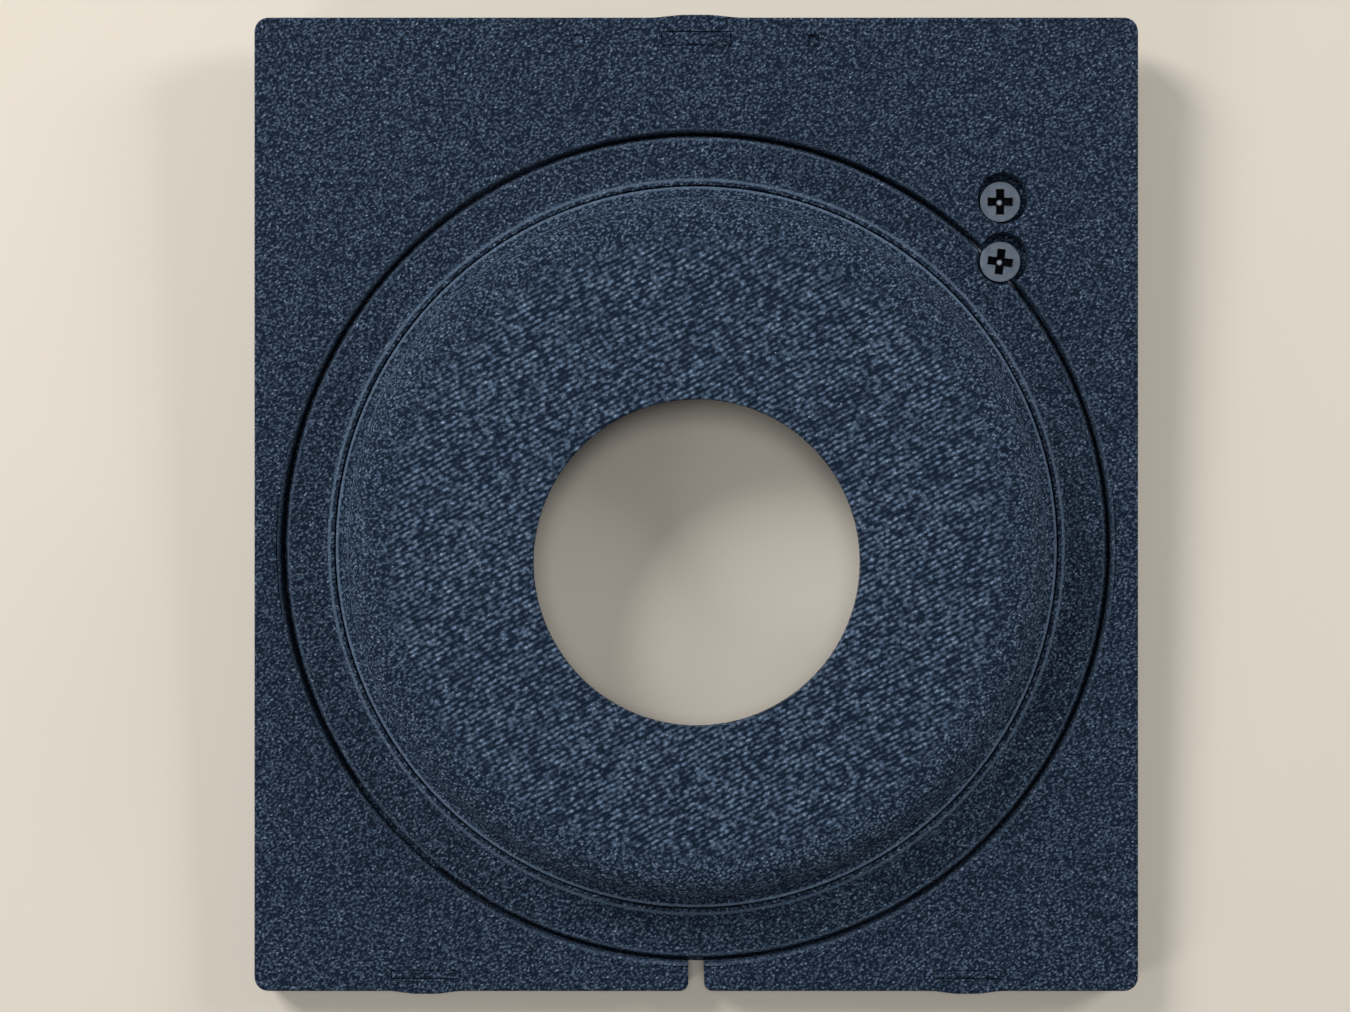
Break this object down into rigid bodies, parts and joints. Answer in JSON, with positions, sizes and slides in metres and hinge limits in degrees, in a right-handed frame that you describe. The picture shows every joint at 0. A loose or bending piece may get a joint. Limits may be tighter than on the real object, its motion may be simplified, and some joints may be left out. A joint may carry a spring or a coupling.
{
  "type": "enlarger lens board",
  "caption": "Flat textured lens board with a round removable adapter ring, a raised turning cup with an off-centre lens hole, and two recessed screws.",
  "frame": {"origin": "under the middle of the carrier plate's outline, level with the free ends of the two stage pins", "axes": "+Z to the front of the board, where the lens points; +Y to the board's top edge; +X to the right seen from the front"},
  "size_m": [0.108, 0.1196, 0.0138],
  "materials": {
    "textured_casting": "fine wrinkle paint, blue-black",
    "screw_steel": "turned, dark zinc",
    "spring_steel": "blued",
    "pin_steel": "blackened",
    "edge_plastic": "grained, blue-black",
    "felt": "black felt"
  },
  "bodies": {
    "carrier": {"carrier_plate": "textured_casting", "seal_ring": "felt", "screw_bar": "spring_steel", "top_edge_insert": "edge_plastic", "left_edge_insert": "edge_plastic", "right_edge_insert": "edge_plastic", "left_stage_pin": "pin_steel", "right_stage_pin": "pin_steel"},
    "ring": {"adapter_ring": "textured_casting", "cup_retainer": "spring_steel"},
    "cup": {"lens_cup": "textured_casting"},
    "lock": {"lock_screw": "screw_steel"},
    "bar_fixing": {"bar_screw": "screw_steel"}
  },
  "joints": [
    {"name": "ring_tilt", "type": "hinge", "parent": "carrier", "child": "ring", "pos_m": [-0.03673, -0.03964, 0.0046], "axis": [0.6839, -0.7295, 0], "range_deg": [0, 6]},
    {"name": "cup_turn", "type": "hinge", "parent": "ring", "child": "cup", "pos_m": [0, -0.0052, 0.0138], "axis": [0, 0, 1], "continuous": true},
    {"name": "lock_screw_out", "type": "slide", "parent": "ring", "child": "lock", "axis": [0, 0, 1], "range_m": [0, 0.004]},
    {"name": "bar_screw_out", "type": "slide", "parent": "carrier", "child": "bar_fixing", "axis": [0, 0, 1], "range_m": [0, 0.004]}
  ]
}
